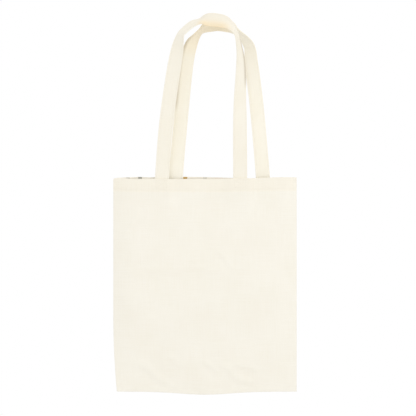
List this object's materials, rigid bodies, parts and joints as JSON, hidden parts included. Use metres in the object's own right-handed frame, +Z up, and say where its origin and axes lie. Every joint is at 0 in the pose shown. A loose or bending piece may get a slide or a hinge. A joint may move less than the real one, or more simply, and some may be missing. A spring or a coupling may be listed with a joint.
{
  "type": "canvas tote bag",
  "caption": "Flat natural-canvas tote bag with a hemmed open mouth, sewn side and bottom seams, and two long folded-canvas handles that swing down over its panels.",
  "frame": {"origin": "Where the bag hangs: the underside of the lower handle's crown, above the middle of the bag", "axes": "+Z up, X along the rim, +Y from the plain back panel to the printed front panel"},
  "size_m": [0.3601, 0.0556, 0.7438],
  "materials": {
    "canvas": "matte plain-weave cotton canvas",
    "printed_canvas": "matte plain-weave cotton canvas with a small scattered print",
    "strap_canvas": "matte folded cotton canvas",
    "thread": "twisted cotton thread"
  },
  "bodies": {
    "bag": {"back_panel": "canvas", "front_panel": "printed_canvas", "left_side_seam": "canvas", "right_side_seam": "canvas", "bottom_seam": "canvas", "left_seam_thread": "thread", "right_seam_thread": "thread", "bottom_seam_thread": "thread", "back_hem_stitching": "thread", "front_hem_stitching": "thread", "back_left_strap_end": "strap_canvas", "back_right_strap_end": "strap_canvas", "front_left_strap_end": "strap_canvas", "front_right_strap_end": "strap_canvas", "back_left_cross_stitch": "thread", "back_right_cross_stitch": "thread", "front_left_cross_stitch": "thread", "front_right_cross_stitch": "thread"},
    "back_handle": {"back_handle_strap": "strap_canvas", "back_handle_stitching": "thread"},
    "front_handle": {"front_handle_strap": "strap_canvas", "front_handle_stitching": "thread"}
  },
  "joints": [
    {"name": "back_handle_swing", "type": "hinge", "parent": "bag", "child": "back_handle", "pos_m": [0, -0.0104, -0.2903], "axis": [1, 0, 0], "range_deg": [0, 174]},
    {"name": "front_handle_swing", "type": "hinge", "parent": "bag", "child": "front_handle", "pos_m": [0, 0.0104, -0.2863], "axis": [-1, 0, 0], "range_deg": [0, 174]}
  ]
}
